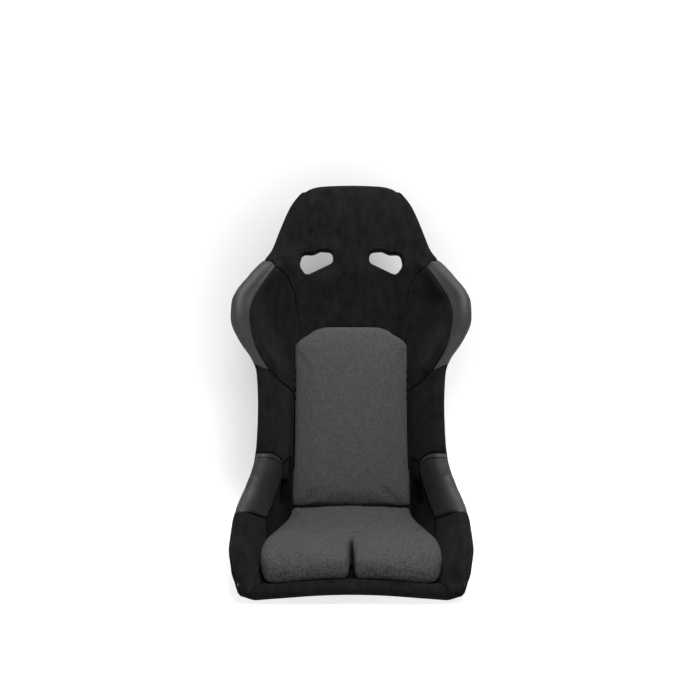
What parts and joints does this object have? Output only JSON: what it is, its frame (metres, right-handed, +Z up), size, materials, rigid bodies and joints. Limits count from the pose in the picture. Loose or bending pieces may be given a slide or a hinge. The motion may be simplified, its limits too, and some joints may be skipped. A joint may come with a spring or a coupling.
{
  "type": "bucket racing seat",
  "caption": "Fixed-back bucket seat for a driver: moulded shell, glued suede and leather pads, lift-off cushions, belt slots and runners to bolt it down.",
  "frame": {"origin": "middle of the footprint of the whole seat, at the height of the flat undersides of the two mounting runners", "axes": "+Z up, the driver faces -Y, +X is to the right of someone who looks at the seat from the front"},
  "size_m": [0.593, 0.672, 0.8562],
  "materials": {
    "shell_gelcoat": "black gelcoat on a glass-fibre moulding, satin gloss, faint print-through of the fibres",
    "suede": "black microfibre suede, matt, with brushed lighter and darker patches",
    "leather": "black leather, fine grain, soft grey sheen",
    "woven_cloth": "charcoal woven cloth with a fine ribbed texture",
    "trim_rubber": "black extruded rubber, satin",
    "bezel_plastic": "black moulded plastic, fine spark texture",
    "insert_steel": "zinc-plated steel",
    "strip_tape": "black hook and loop tape"
  },
  "bodies": {
    "bucket": {"shell": "shell_gelcoat", "edge_trim": "trim_rubber", "head_panel": "suede", "lip_pad": "suede", "base_liner": "suede", "back_liner": "suede", "mount_runner_right": "shell_gelcoat", "mount_runner_left": "shell_gelcoat", "shoulder_bolster_right": "leather", "shoulder_bolster_left": "leather", "shoulder_pad_right": "suede", "shoulder_pad_left": "suede", "thigh_patch_right": "leather", "thigh_patch_left": "leather", "thigh_pad_right": "suede", "thigh_pad_left": "suede", "hip_liner_right": "suede", "hip_liner_left": "suede", "side_pad_right": "suede", "side_pad_left": "suede", "harness_bezel_right": "bezel_plastic", "harness_bezel_left": "bezel_plastic", "lap_belt_bezel_right": "bezel_plastic", "lap_belt_bezel_left": "bezel_plastic", "mount_insert_front_right": "insert_steel", "mount_insert_front_left": "insert_steel", "mount_insert_rear_right": "insert_steel", "mount_insert_rear_left": "insert_steel", "seat_hook_strip_right": "strip_tape", "seat_hook_strip_left": "strip_tape", "back_hook_strip_right": "strip_tape", "back_hook_strip_left": "strip_tape", "crotch_strap_bezel": "bezel_plastic"},
    "lower_cushion": {"seat_cushion": "woven_cloth", "seat_loop_strip_right": "strip_tape", "seat_loop_strip_left": "strip_tape"},
    "upper_cushion": {"back_cushion": "woven_cloth", "back_loop_strip_right": "strip_tape", "back_loop_strip_left": "strip_tape"}
  },
  "joints": [
    {"name": "lower_cushion_lift", "type": "slide", "parent": "bucket", "child": "lower_cushion", "axis": [0, -0.766, 0.6428], "range_m": [0, 0.5]},
    {"name": "upper_cushion_lift", "type": "slide", "parent": "bucket", "child": "upper_cushion", "axis": [0, -0.6428, 0.766], "range_m": [0, 0.3]}
  ]
}
